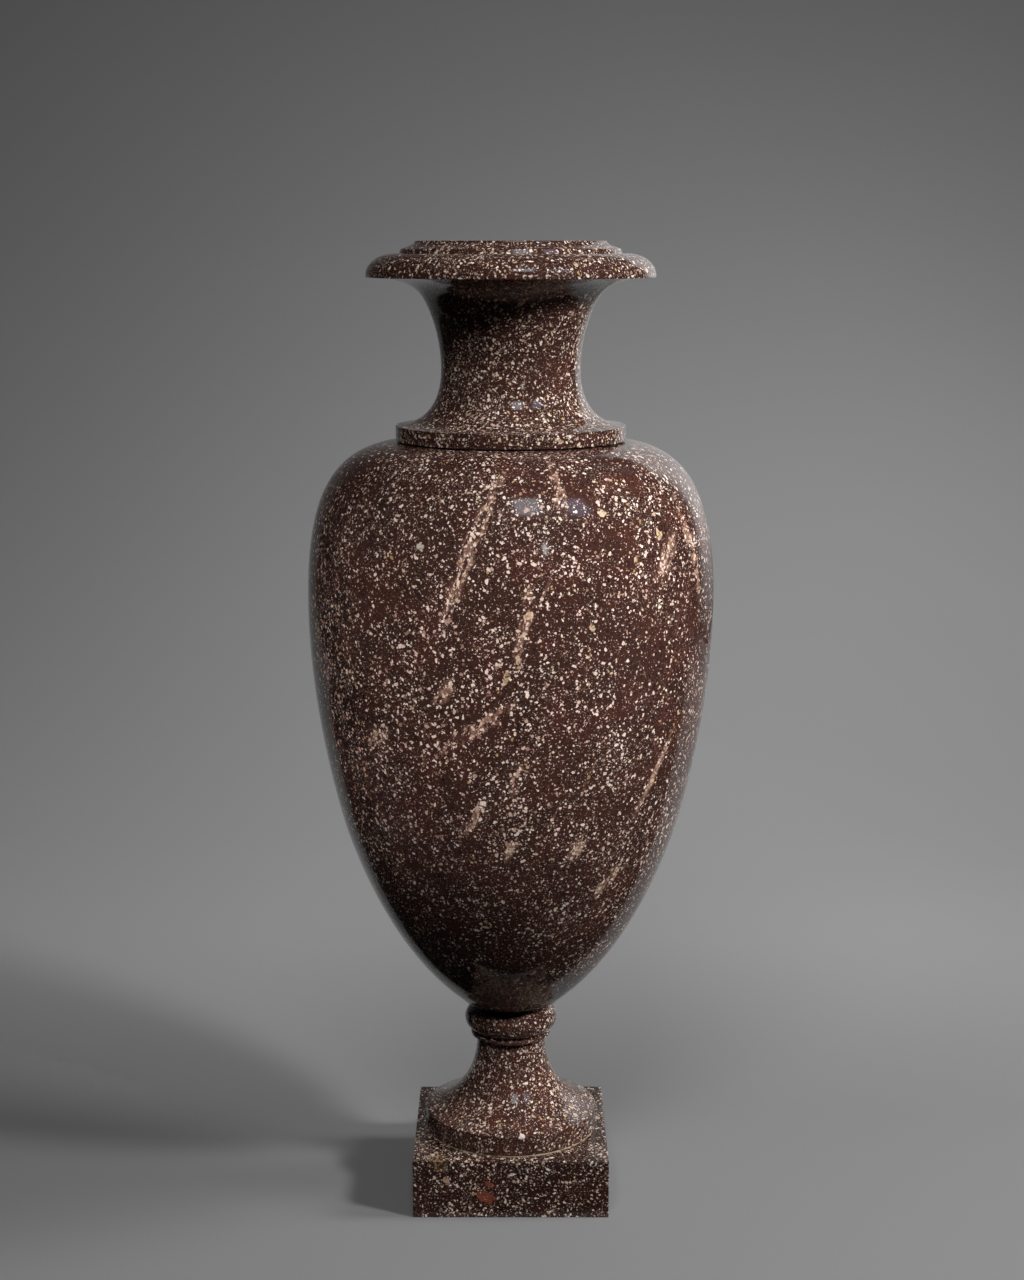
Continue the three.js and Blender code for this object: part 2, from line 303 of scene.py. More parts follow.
def turningTree():
    tree = bpy.data.node_groups.new("turning", "GeometryNodeTree")
    addSockets(tree, "INPUT", "Geometry", "Outline")
    addSockets(tree, "INPUT", "Int", "Sides")
    addSockets(tree, "INPUT", "Float", "Hub", "Nick depth", "Nick spread", "Nick amount", "Seed")
    addSockets(tree, "INPUT", "Material", "Stone")
    addSockets(tree, "OUTPUT", "Geometry", "Turned")
    given = tree.nodes.new("NodeGroupInput").outputs

    # the outline is laid in the lathe's own plane: outwards is radius less hub, and up is minus
    outline = addNode(tree, "GeometryNodeMeshToCurve", inputs={"Mesh": given["Outline"]}).outputs["Curve"]
    place = addNode(tree, "GeometryNodeInputPosition").outputs[0]
    along = parted(tree, place)
    out = maths(tree, "SUBTRACT", along["X"], given["Hub"])
    down = times(tree, along["Z"], -1.0)
    laid = addNode(tree, "ShaderNodeCombineXYZ", inputs={"X": out, "Y": down}).outputs[0]
    outline = addNode(tree, "GeometryNodeSetPosition",
                      inputs={"Geometry": outline, "Position": laid}).outputs[0]
    path = addNode(tree, "GeometryNodeCurvePrimitiveCircle",
                   inputs={"Resolution": given["Sides"], "Radius": given["Hub"]}).outputs["Curve"]
    turned = addNode(tree, "GeometryNodeCurveToMesh",
                     inputs={"Curve": path, "Profile Curve": outline}).outputs[0]

    # nicks: only where faces meet at an angle, and only where the noise runs high
    angle = addNode(tree, "GeometryNodeInputMeshEdgeAngle").outputs["Unsigned Angle"]
    edge = between(tree, angle, *lathe["nickAngles"])
    bumpy = addNode(tree, "ShaderNodeTexNoise", {"noise_dimensions": "4D"}, {
        "Vector": place, "W": given["Seed"], "Scale": given["Nick spread"], "Detail": 3.0}).outputs[0]
    past = maths(tree, "SUBTRACT", bumpy, given["Nick amount"])
    deep = maths(tree, "MULTIPLY", past, lathe["nickGain"], clamp=True)
    depth = times(tree, times(tree, deep, edge), given["Nick depth"])
    normal = addNode(tree, "GeometryNodeInputNormal").outputs[0]
    push = scaled(tree, normal, times(tree, depth, -1.0))
    nicked = addNode(tree, "GeometryNodeSetPosition",
                     inputs={"Geometry": turned, "Offset": push}).outputs[0]
    real = addNode(tree, "GeometryNodeRealizeInstances", inputs={"Geometry": nicked}).outputs[0]
    done = addNode(tree, "GeometryNodeSetMaterial",
                   inputs={"Geometry": real, "Material": given["Stone"]}).outputs[0]
    addNode(tree, "NodeGroupOutput", inputs={"Turned": done})
    return tree


def onLathe(name, outline, material, sides=lathe["sides"], nickDepth=lathe["nickDepth"]):
    # outline in millimetres, listed up the outside and down the inside
    wire = bpy.data.meshes.new(name + "Outline")
    ring = [(i, (i + 1) % len(outline)) for i in range(len(outline))]
    wire.from_pydata([(p.x * mm, 0, p.y * mm) for p in outline], ring, [])
    blank = bpy.data.objects.new(name + "Blank", wire)
    bpy.context.scene.collection.objects.link(blank)
    turning = blank.modifiers.new("turning", "NODES")
    turning.node_group = lathe["tree"]
    ids = socketIds(lathe["tree"])
    inputs = {
        "Sides": sides, "Hub": lathe["hub"], "Nick depth": nickDepth * mm,
        "Nick spread": lathe["nickSpread"], "Nick amount": lathe["nickAmount"],
        "Seed": lathe["seed"] + len(name), "Stone": material,
    }
    for label, value in inputs.items():
        turning[ids[label]] = value
    made = bpy.data.meshes.new_from_object(blank.evaluated_get(bpy.context.evaluated_depsgraph_get()))
    bpy.data.objects.remove(blank)
    made.name = name
    return finished(name, made, material)


def newMesh(name, points, faces):
    mesh = bpy.data.meshes.new(name)
    mesh.from_pydata(points, [], faces)
    return mesh


def bridged(low, high, count):
    # faces between two closed rows of points, given by the number of each row's first point
    return [(low + i, low + (i + 1) % count, high + (i + 1) % count, high + i) for i in range(count)]


def finished(name, mesh, material, sharpAbove=32):
    mesh.materials.clear()
    mesh.materials.append(material)
    mesh.polygons.foreach_set("use_smooth", [True] * len(mesh.polygons))
    mesh.set_sharp_from_angle(angle=math.radians(sharpAbove))
    piece = bpy.data.objects.new(name, mesh)
    bpy.context.scene.collection.objects.link(piece)
    return piece


plinth = {
    "width": 130.0, "height": 39.5, "arris": 0.55, "corner": 0.7, "edgeBand": 1.6,
    "recessRadius": 23.0, "recessDepth": 18.0, "recessWorn": 0.4, "boreRadius": foot["boreRadius"],
    "around": 960,
    "nickDepth": 1.1, "nickBand": 1.2, "nickSpread": 160.0, "nickAmount": 0.62, "nickGain": 2.4,
    "patchSpread": 23.0, "patchShare": 0.9, "patchShift": (3, 1, 7),
}


def plinthMesh(material):
    # rings from the bore's edge underneath, out over the four sides and back to the bore on top
    p = plinth
    half = p["width"] / 2
    turns = squareTurns(p["around"], half, p["corner"])
    bore, recess, recessWorn = p["boreRadius"], p["recessRadius"], p["recessWorn"]
    band, top = p["edgeBand"], p["height"]

    def circle(radius, height):
        return [(radius * math.cos(a), radius * math.sin(a), height) for a in turns]

    def square(inset, height):
        return [roundedSquare(a, half - inset, p["corner"], height) for a in turns]

    arris = [(p["arris"] * (1 - math.sin(q)), p["arris"] * (1 - math.cos(q)))
             for q in (math.pi / 2 * k / cornerSteps for k in range(cornerSteps + 1))]
    rings = [circle(bore, p["recessDepth"]), circle(recess, p["recessDepth"]),
             circle(recess, recessWorn), circle(recess + recessWorn, 0.0), square(band, 0.0)]
    rings += [square(inset, rise) for inset, rise in arris]
    rings += [square(0.0, band), square(0.0, top - band)]
    rings += [square(inset, top - rise) for inset, rise in reversed(arris)]
    rings += [square(band, top), circle(bore, top)]
    count = len(turns)
    points = [Vector(point) * mm for ring in rings for point in ring]
    faces = []
    for r in range(len(rings)):
        faces += bridged(r * count, (r + 1) % len(rings) * count, count)
    mesh = newMesh("plinth_block", points, faces)
    chipped(mesh, p)
    return finished("plinth_block", mesh, material)


def squareTurns(count, half, corner):
    # directions evenly spaced along the square's sides, with extra ones round each corner
    turns, steps = [], count // 4
    for side in range(4):
        middle = side * math.pi / 2
        straight = [-half + corner + 2 * (half - corner) * i / steps for i in range(steps + 1)]
        turns += [middle + math.atan2(s, half) for s in straight]
        for k in range(1, cornerSteps + 1):
            q = math.pi / 2 * k / (cornerSteps + 1)
            over = half - corner + corner * math.sin(q)
            out = half - corner + corner * math.cos(q)
            turns.append(middle + math.atan2(over, out))
    return turns


def roundedSquare(turn, half, corner, height):
    side = round(turn / (math.pi / 2)) * math.pi / 2
    off = math.atan2(math.sin(turn - side), math.cos(turn - side))
    reach = half / math.cos(off)
    across = abs(math.tan(off)) * half
    if across > half - corner:  # inside the rounded corner: meet the little circle
        c = half - corner
        u = Vector((math.cos(abs(off)), math.sin(abs(off))))
        along = u.x * c + u.y * c
        reach = along + math.sqrt(max(along * along - (2 * c * c - corner * corner), 0))
    return (reach * math.cos(turn), reach * math.sin(turn), height)


def chipped(mesh, p):
    # small nicks along the arrises
    half, top, band = p["width"] / 2 * mm, p["height"] * mm, p["nickBand"] * mm
    mesh.update()
    moves = []
    for vertex in mesh.vertices:
        co = vertex.co
        side = max(abs(co.x), abs(co.y)) > half - band
        ends = min(co.z, top - co.z) < band
        corner = min(abs(co.x), abs(co.y)) > half - band
        if side and (ends or corner):
            rough = noise.fractal(co * p["nickSpread"], 1.0, 2.0, 3)  # fading, step, octaves
            broad = noise.noise(co * p["patchSpread"] + Vector(p["patchShift"]))
            chip = max(0.0, rough + broad * p["patchShare"] - p["nickAmount"]) * p["nickGain"]
            if chip > 0:
                inward = Vector((-co.x, -co.y, top / 2 - co.z)).normalized()
                moves.append((vertex, inward * min(chip, 1.0) * p["nickDepth"] * mm))
    for vertex, move in moves:
        vertex.co += move


# finishes

# shares of a crystal's given size, and the range of its shape in which it fades into the ground
crystal = {
    "leastSize": 0.50, "sizeSpread": 0.55, "leastThickness": 0.6, "thicknessSpread": 0.7,
    "cornerCut": 0.52, "edge": (1.0, 0.86),
}


def crystalGroup():
    # one generation of angular crystals: each cell of the pattern holds one, turned its own way
    c = crystal
    tree = bpy.data.node_groups.new("crystals", "ShaderNodeTree")
    addSockets(tree, "INPUT", "Vector", "Vector")
    addSockets(tree, "INPUT", "Float", "Per metre", "Long", "Wide", "Share", "Layer")
    addSockets(tree, "OUTPUT", "Float", "Mask", "Tone", "Hue")
    given = tree.nodes.new("NodeGroupInput").outputs
    moved = vectorMaths(tree, "ADD", scaled(tree, given["Vector"], given["Per metre"]), given["Layer"])
    cells = addNode(tree, "ShaderNodeTexVoronoi", {"voronoi_dimensions": "3D", "feature": "F1"},
                    {"Vector": moved, "Scale": 1.0, "Randomness": 1.0}).outputs
    local = vectorMaths(tree, "SUBTRACT", moved, cells["Position"])
    spin = scaled(tree, cells["Color"], 2 * math.pi)
    turned = addNode(tree, "ShaderNodeVectorRotate", {"rotation_type": "EULER_XYZ"},
                     {"Vector": local, "Rotation": spin}).outputs[0]
    dice = addNode(tree, "ShaderNodeTexWhiteNoise", {"noise_dimensions": "3D"},
                   {"Vector": cells["Position"]}).outputs
    roll = addNode(tree, "ShaderNodeSeparateColor", inputs={0: dice["Color"]}).outputs
    size = maths(tree, "MULTIPLY_ADD", roll["Red"], c["sizeSpread"], c["leastSize"])
    fat = maths(tree, "MULTIPLY_ADD", roll["Green"], c["thicknessSpread"], c["leastThickness"])
    sides = parted(tree, vectorMaths(tree, "ABSOLUTE", turned))
    long = maths(tree, "DIVIDE", sides["X"], given["Long"])
    wide = maths(tree, "DIVIDE", sides["Y"], given["Wide"])
    thick = maths(tree, "DIVIDE", sides["Z"], times(tree, given["Wide"], fat))
    box = largest(tree, long, wide, thick)
    total = maths(tree, "ADD", maths(tree, "ADD", long, wide), thick)
    cut = times(tree, total, c["cornerCut"])
    shape = maths(tree, "DIVIDE", maths(tree, "MAXIMUM", box, cut), size)
    mask = between(tree, shape, *c["edge"])
    present = maths(tree, "LESS_THAN", dice["Value"], given["Share"])
    addNode(tree, "NodeGroupOutput", inputs={
        "Mask": times(tree, mask, present), "Tone": roll["Blue"],
        "Hue": maths(tree, "FRACT", times(tree, dice["Value"], 37.7))})  # a fourth roll
    return tree


porphyry = {
    "night": (0.015, 0.008, 0.0075), "brown": (0.058, 0.0245, 0.0190), "red": (0.096, 0.031, 0.022),
    "stain": (0.25, 0.15, 0.06),
    "haze": (0.28, 0.145, 0.100),
    "dullCrystal": (0.17, 0.092, 0.068), "pinkCrystal": (0.46, 0.29, 0.22), "cream": (0.66, 0.49, 0.34),
    "paleCrystal": (0.68, 0.53, 0.44), "whiteCrystal": (0.84, 0.73, 0.64),
    "ochre": (0.40, 0.25, 0.07), "brick": (0.23, 0.062, 0.040), "grey": (0.52, 0.50, 0.42),
    # crystals ripple and streaks sway: how often per metre, detail, reach in millimetres
    "ripple": (700.0, 1.0, 1.3), "sway": (130.0, 3.0, 8.0),
    # crystals of each size: per metre, half length, half width, share of cells filled, strength
    "layers": (
        (950.0, 0.55, 0.38, 0.48, 0.40),
        (600.0, 0.60, 0.34, 0.36, 0.75),
        (400.0, 0.60, 0.33, 0.46, 1.0),
        (290.0, 0.58, 0.33, 0.40, 1.0),
        (190.0, 0.52, 0.29, 0.27, 1.0),
        (120.0, 0.40, 0.19, 0.12, 1.0),
    ),
    "coarseBelow": 300.0, "layerStep": 7.31,
    # per metre, half length, half width, strength, share of the vein's cells, place of the layer
    "veinCrystals": (330.0, 0.70, 0.42, 0.9, 0.9, 91.7),
    "veinTurn": (0.0, 25.0, 0.0), "veinSize": (8.0, 50.0, 80.0), "flakeSize": (2.8, 8.0, 12.0),
    "veinNoise": (1.0, 2.0, 0.55), "veinFrom": 0.72, "veinGain": 0.06, "veinEdge": 0.09,
    "veinHaze": 0.72, "veinCrowd": 0.45,
    "streakEdge": (1.3, 0.7), "streakDepth": 60.0, "richEdge": (1.2, 0.5, 0.0, 0.16),
    "rareAbove": 0.965, "rareShare": 0.85, "speckShare": 0.65, "coverRoughness": 0.035,
    "spotCorner": 0.86, "spotEdge": (1.0, 0.8), "haloEdge": (1.6, 1.3),
    "ochreCover": (-0.6, 1.0), "stainCover": (-0.75, 0.8),
    # patterns: how often per metre, detail, roughness, where they begin and end and what they give there
    "broken": (110.0, 4.0, 0.65, 0.36, 0.52, 0.3, 1.0),
    "flakes": (1.0, 2.0, 0.6, 0.43, 0.52, 0.1, 1.0),
    "crowding": (30.0, 3.0, 0.55, 0.3, 0.7, -0.20, 0.20),
    "redder": (46.0, 4.0, 0.6, 0.44, 0.66),
    "specks": (520.0, 3.0, 0.65, 0.50, 0.66),
    "patchy": (420.0, 2.0, 0.5, 0.36, 0.54),
    "knotty": (650.0, 2.0, 0.5, 0.33, 0.45, 0.25, 1.0),
    "clouding": (900.0, 2.0, 0.5, 0.25, 0.75, 0.82, 1.14),
    "smears": (14.0, 4.0, 0.6, 0.3, 0.75, -0.03, 0.06),
    # the polish: broad and fine unevenness per metre, the broad one's share, strength and depth
    "polish": (60.0, 1300.0, 14.0, 0.2, 0.03), "refraction": 1.54,
}

# each block was cut from another place in the quarry; lengths in millimetres, angles in degrees.
# offset and turn say where; veins how many faint veins; crowd, coarse and fine add to the share of
# cells that all, large or small crystals fill; shade darkens the ground, redness reddens its patches
# and warmth turns pale crystals to cream. a streak is its middle, length, lean from upright and
# width; a spot its middle, size, lean and colour; rich the middle, size and lean of a cloud of
# larger crystals
blocks = {
    "plinth": {
        "offset": (0.31, 0.12, 0.05), "turn": (0, 35, 0), "veins": 0.6, "crowd": -0.02, "coarse": 0.02,
        "shade": 0.54, "redness": 0.8, "fine": 0.20, "warmth": 0.4, "roughness": 0.13,
        "streaks": (),
        "spots": (
            ((-48, -61, 37), (15, 14, 12), 0, "stain"), ((-14, -65, 23), (8, 6, 5), 20, "brick"),
            ((-16, -65, 14), (16, 6, 7.4), 12, "brick"), ((-42, -65, 26), (3.6, 4, 4.2), 15, "pinkCrystal"),
            ((1.3, -65, 31), (4.8, 3, 2.0), 4, "whiteCrystal"),
            ((-23, -65, 21), (2.6, 3, 3.0), 30, "paleCrystal"),
            ((59, -54, 39.5), (5.2, 1.6, 3), 0, "paleCrystal"),
        ),
    },
    "foot": {
        "offset": (0.71, 0.43, 0.22), "turn": (10, 0, 30), "veins": 0.2, "crowd": 0.02, "coarse": -0.03,
        "shade": 0.95, "redness": 0.7, "fine": 0.16, "warmth": 0.3, "roughness": 0.12,
        "streaks": (),
        "spots": (((8, -57.5, 55), (4.4, 4, 5.6), 10, "whiteCrystal"),),
    },
    "body": {
        "offset": (0.0, 0.0, 0.0), "turn": (0, 0, 0), "veins": 0.35, "crowd": 0.0, "coarse": 0.03,
        "shade": 0.82, "redness": 0.7, "fine": -0.02, "warmth": 0.1, "roughness": 0.08,
        "rich": ((-52, -122, 355), (130, 90, 150), 20),
        "streaks": (
            ((-23, -116, 455), 99, 19, 9), ((-21, -125, 347), 57, 54, 8), ((91, -83, 309), 54, 18, 6),
            ((111, -63, 450), 60, -7, 9), ((96, -87, 448), 34, 26, 10), ((62, -84, 239), 28, 36, 7),
            ((28, -107, 492), 32, -5, 6), ((8, -132, 410), 49, 8, 7), ((0, -114, 266), 16, 22, 6),
            ((42, -106, 266), 18, 27, 10), ((-23, -116, 287), 28, 35, 7), ((-83, -97, 335), 20, 51, 7),
            ((4, -124, 314), 18, 14, 6), ((-39, -121, 369), 20, 40, 8),
        ),
        "spots": (
            ((-54, -118, 457), (4.6, 5, 4.4), 20, "grey"), ((-32, -129, 427), (3.0, 4, 2.0), 15, "ochre"),
            ((10, -133, 418), (3.4, 4, 3.0), 0, "ochre"), ((76, -106, 448), (2.2, 4, 3.6), 10, "ochre"),
            ((91, -90, 461), (3.4, 4, 3.0), 25, "ochre"), ((-3, -132, 379), (2.2, 4, 7.0), 24, "ochre"),
            ((50, -124, 409), (1.8, 4, 3.4), 12, "ochre"), ((56, -110, 477), (5.6, 5, 4.6), 5, "cream"),
            ((22, -131, 423), (1.9, 4, 6.6), 14, "whiteCrystal"),
            ((5, -133, 391), (2.2, 4, 6.0), 8, "cream"),
            ((-38, -128, 414), (3.4, 4, 4.6), 25, "pinkCrystal"),
            ((-37, -125, 337), (9.0, 4, 3.4), -40, "cream"),
            ((49, -122, 438), (4.2, 4, 3.8), 30, "whiteCrystal"),
            ((10, -131, 369), (2.6, 4, 3.0), 0, "whiteCrystal"),
        ),
    },
    "neck": {
        "offset": (0.52, 0.90, 0.40), "turn": (0, 8, 70), "veins": 0.3, "crowd": -0.01, "coarse": 0.06,
        "shade": 0.82, "redness": 0.5, "fine": 0.18, "warmth": 0.5, "roughness": 0.10,
        "streaks": (), "spots": (),
    },
}


def ramp(tree, factor, stops):
    made = addNode(tree, "ShaderNodeValToRGB", inputs={0: factor})
    colours = made.color_ramp.elements
    while len(colours) < len(stops):
        colours.new(0.5)
    for element, (position, colour) in zip(colours, stops):
        element.position = position
        element.color = (*colour, 1)
    return made.outputs["Color"]


def blend(tree, factor, a, b, mode="MIX"):
    a, b = ((*colour, 1) if isinstance(colour, tuple) else colour for colour in (a, b))
    settings = {"data_type": "RGBA", "blend_type": mode}
    return addNode(tree, "ShaderNodeMix", settings, {0: factor, 6: a, 7: b}).outputs[2]


def noiseAt(tree, vector, scale, detail=2.0, roughness=0.5):
    return addNode(tree, "ShaderNodeTexNoise", inputs={
        "Vector": vector, "Scale": scale, "Detail": detail, "Roughness": roughness}).outputs[0]


def pattern(tree, vector, scale, detail, roughness, low, high, start=0.0, end=1.0):
    return between(tree, noiseAt(tree, vector, scale, detail, roughness), low, high, start, end)


def waver(tree, vector, scale, detail, reach):
    # a random shift of up to half of the reach each way
    colour = addNode(tree, "ShaderNodeTexNoise", inputs={
        "Vector": vector, "Scale": scale, "Detail": detail}).outputs[1]
    return scaled(tree, vectorMaths(tree, "SUBTRACT", colour, (0.5, 0.5, 0.5)), reach * mm)


def inRadians(turn):
    return [math.radians(angle) for angle in turn]


def stretched(tree, vector, size, turn, middle=(0, 0, 0)):
    # a place as seen from the middle, measured in the sizes given
    return addNode(tree, "ShaderNodeMapping", {"vector_type": "TEXTURE"}, {
        "Vector": vector, "Location": [c * mm for c in middle], "Rotation": turn,
        "Scale": [s * mm for s in size]}).outputs[0]


def placedAt(tree, place, middle, size, lean):
    # how far a point is from a place on the stone: 1 is its edge
    outward = math.atan2(middle[0], -middle[1])
    tilt = math.atan2(math.tan(math.radians(lean)), math.cos(outward))
    return stretched(tree, place, [s / 2 for s in size], (0.0, tilt, outward), middle)


def streakMask(tree, place, streaks):
    nearest = None
    for middle, length, lean, width in streaks:
        size = (width, porphyry["streakDepth"], length)
        reach = vectorMaths(tree, "LENGTH", placedAt(tree, place, middle, size, lean))
        nearest = reach if nearest is None else maths(tree, "MINIMUM", nearest, reach)
    return between(tree, nearest, *porphyry["streakEdge"])


def newMaterial(name):
    material = bpy.data.materials.new(name)
    material.use_nodes = True
    tree = material.node_tree
    return material, tree, addNode(tree, "ShaderNodeTexCoord").outputs["Object"]


def setShader(tree, inputs):
    setInputs(tree, tree.nodes["Principled BSDF"], inputs)


def bumped(tree, height, strength, distance):
    return addNode(tree, "ShaderNodeBump", inputs={
        "Strength": strength, "Distance": distance * mm, "Height": height}).outputs[0]


def crystalsOf(tree, place, perMetre, long, wide, share, layer):
    return addNode(tree, "ShaderNodeGroup", {"node_tree": crystalTree}, {
        "Vector": place, "Per metre": perMetre, "Long": long, "Wide": wide,
        "Share": share, "Layer": layer}).outputs


def porphyryMaterial(name, b):
    p = porphyry
    material, tree, place = newMaterial(name)
    block = addNode(tree, "ShaderNodeMapping", inputs={
        "Vector": place, "Location": b["offset"], "Rotation": inRadians(b["turn"])}).outputs[0]
    wobble = waver(tree, block, *p["ripple"])
    grain = vectorMaths(tree, "ADD", block, wobble)
    swayed = vectorMaths(tree, "ADD", place, waver(tree, place, *p["sway"]))

    # veins of crowded pink crystals: faint ones all over, and the streaks that stand out
    veinTurn = inRadians(p["veinTurn"])
    veinPlace = stretched(tree, grain, p["veinSize"], veinTurn)
    low = p["veinFrom"] - b["veins"] * p["veinGain"]
    vein = pattern(tree, veinPlace, *p["veinNoise"], low, low + p["veinEdge"])
    vein = times(tree, vein, pattern(tree, grain, *p["broken"]))
    if b["streaks"]:  # long flakes side by side
        streak = streakMask(tree, swayed, b["streaks"])
        flakes = pattern(tree, stretched(tree, grain, p["flakeSize"], veinTurn), *p["flakes"])
        vein = maths(tree, "MAXIMUM", vein, times(tree, streak, flakes))
    crowding = maths(tree, "ADD", pattern(tree, block, *p["crowding"]), b["crowd"])
    crowding = maths(tree, "MULTIPLY_ADD", vein, p["veinCrowd"], crowding)
    if "rich" in b:
        reach = vectorMaths(tree, "LENGTH", placedAt(tree, swayed, *b["rich"]))
        rich = between(tree, reach, *p["richEdge"])

    # ground mass: brown, redder in patches, with blackish specks
    brown, red = (tuple(c * b["shade"] for c in p[finish]) for finish in ("brown", "red"))
    redder = times(tree, pattern(tree, block, *p["redder"]), b["redness"])
    ground = blend(tree, redder, brown, red)
    specks = times(tree, pattern(tree, grain, *p["specks"]), p["speckShare"])
    ground = blend(tree, specks, ground, p["night"])
    colour = blend(tree, times(tree, vein, p["veinHaze"]), ground, p["haze"])

    # crystals, the smallest first; cover is how much of the surface they take
    cover = None
    warmer = tuple(a + (c - a) * b["warmth"] for a, c in zip(p["paleCrystal"], p["cream"]))
    tones = ((0.0, p["dullCrystal"]), (0.15, p["pinkCrystal"]), (0.4, warmer), (0.9, p["whiteCrystal"]))
    for number, (perMetre, long, wide, share, strength) in enumerate(p["layers"]):
        coarse = perMetre < p["coarseBelow"]
        filled = maths(tree, "ADD", crowding, share + b["coarse" if coarse else "fine"])
        if coarse and "rich" in b:
            filled = maths(tree, "ADD", filled, rich)
        crystals = crystalsOf(tree, grain, perMetre, long, wide, filled, number * p["layerStep"])
        rare = maths(tree, "GREATER_THAN", crystals["Hue"], p["rareAbove"])
        rare = times(tree, rare, p["rareShare"])
        tone = blend(tree, rare, ramp(tree, crystals["Tone"], tones), p["ochre"])
        mask = times(tree, crystals["Mask"], strength)
        colour = blend(tree, mask, colour, tone)
        cover = mask if cover is None else maths(tree, "MAXIMUM", cover, mask)

    perMetre, long, wide, strength, share, layer = p["veinCrystals"]
    filled = times(tree, vein, share)
    crystals = crystalsOf(tree, grain, perMetre, long, wide, filled, layer)
    tone = ramp(tree, crystals["Tone"], (
        (0.0, p["haze"]), (0.35, p["pinkCrystal"]), (0.65, p["cream"]), (1.0, p["paleCrystal"])))
    mask = times(tree, crystals["Mask"], strength)
    colour = blend(tree, mask, colour, tone)
    cover = maths(tree, "MAXIMUM", cover, mask)

    # single crystals and spots that stand out, with angular, ragged edges
    ragged = vectorMaths(tree, "ADD", swayed, wobble)
    patchy = pattern(tree, grain, *p["patchy"])
    knotty = pattern(tree, grain, *p["knotty"])
    for middle, size, lean, finish in b["spots"]:
        across = vectorMaths(tree, "ABSOLUTE", placedAt(tree, ragged, middle, size, lean))
        sides = parted(tree, across)
        box = largest(tree, sides["X"], sides["Y"], sides["Z"])
        rounded = times(tree, vectorMaths(tree, "LENGTH", across), p["spotCorner"])
        edge = maths(tree, "MAXIMUM", box, rounded)
        mask = times(tree, between(tree, edge, *p["spotEdge"]), knotty)
        if finish == "ochre":  # it lies in a paler patch
            halo = times(tree, between(tree, edge, *p["haloEdge"]), patchy)
            colour = blend(tree, halo, colour, p["cream"])
        if finish in ("ochre", "stain"):
            mask = times(tree, mask, maths(tree, "MULTIPLY_ADD", patchy, *p[finish + "Cover"]))
        colour = blend(tree, mask, colour, p[finish])

    clouding = pattern(tree, grain, *p["clouding"])
    shade = addNode(tree, "ShaderNodeCombineColor",
                    inputs={channel: clouding for channel in range(3)}).outputs[0]
    rough = maths(tree, "ADD", pattern(tree, place, *p["smears"]), b["roughness"])
    # polished by hand: a faint unevenness, kept apart from the crystals so that it stays quick
    broad, fine, broadShare, strength, depth = p["polish"]
    swell, grit = (noiseAt(tree, place, often) for often in (broad, fine))
    relief = maths(tree, "MULTIPLY_ADD", swell, broadShare, grit)
    setShader(tree, {
        "Base Color": blend(tree, 1.0, colour, shade, "MULTIPLY"),
        "Roughness": maths(tree, "MULTIPLY_ADD", cover, p["coverRoughness"], rough),
        "Normal": bumped(tree, relief, strength, depth), "IOR": p["refraction"]})
    return material


# patterns as in the porphyry; a bump is its strength and its depth in millimetres
puttyFinish = {
    "patches": (120.0, 4.0, 0.6), "dirt": (420.0, 3.0, 0.6, 0.55, 0.7), "dirtColour": (0.10, 0.07, 0.045),
    "grit": (900.0, 3.0), "bump": (0.6, 0.15), "roughness": 0.88,
    # dark, middle and pale, and where they lie on the patches
    "tonesAt": (0.3, 0.5, 0.7),
    "foot_bedding": ((0.30, 0.22, 0.13), (0.55, 0.45, 0.28), (0.68, 0.60, 0.43)),
    # the body's and the neck's beds are the same putty as the foot's, painted darker: painted shade in the
    # joints under the body and under the collar
    "body_bedding": ((0.05, 0.035, 0.025), (0.10, 0.075, 0.05), (0.20, 0.15, 0.10)),
    "neck_bedding": ((0.008, 0.006, 0.005), (0.018, 0.013, 0.010), (0.05, 0.036, 0.025)),
}


def puttyMaterial(name, tones):
    f = puttyFinish
    material, tree, place = newMaterial(name)
    colour = ramp(tree, noiseAt(tree, place, *f["patches"]), list(zip(f["tonesAt"], tones)))
    dirt = pattern(tree, place, *f["dirt"])
    setShader(tree, {
        "Base Color": blend(tree, dirt, colour, f["dirtColour"]), "Roughness": f["roughness"],
        "Normal": bumped(tree, noiseAt(tree, place, *f["grit"]), *f["bump"])})
    return material


ironFinish = {
    "clean": ((0.28, 0.27, 0.26), (0.42, 0.41, 0.39)), "cleanPatches": 800.0,
    "rust": (210.0, 5.0, 0.65, 0.5, 0.66), "rustColour": (0.17, 0.065, 0.028),
    "grit": 1500.0, "bump": (0.4, 0.1),
    # clean and rusty
    "roughness": (0.36, 0.85), "metallic": (1.0, 0.15),
}


def ironMaterial():
    f = ironFinish
    material, tree, place = newMaterial("iron")
    rust = pattern(tree, place, *f["rust"])
    clean = blend(tree, noiseAt(tree, place, f["cleanPatches"]), *f["clean"])
    height = maths(tree, "ADD", rust, noiseAt(tree, place, f["grit"]))
    setShader(tree, {
        "Base Color": blend(tree, rust, clean, f["rustColour"]),
        "Roughness": between(tree, rust, 0.0, 1.0, *f["roughness"]),
        "Metallic": between(tree, rust, 0.0, 1.0, *f["metallic"]),
        "Normal": bumped(tree, height, *f["bump"])})
    return material


crystalTree = crystalGroup()
lathe["tree"] = turningTree()
print("materials")
stones = {name: porphyryMaterial("porphyry" + name.capitalize(), b) for name, b in blocks.items()}
iron = ironMaterial()

print("stones")
made = {
    "plinth": plinthMesh(stones["plinth"]),
    "foot": onLathe("foot_turned", footOutline(), stones["foot"], foot["sides"], foot["nickDepth"]),
    "body": onLathe("body_turned", bodyOutline(), stones["body"]),
    "neck": onLathe("neck_turned", neckOutline(), stones["neck"]),
}

print("bedding")

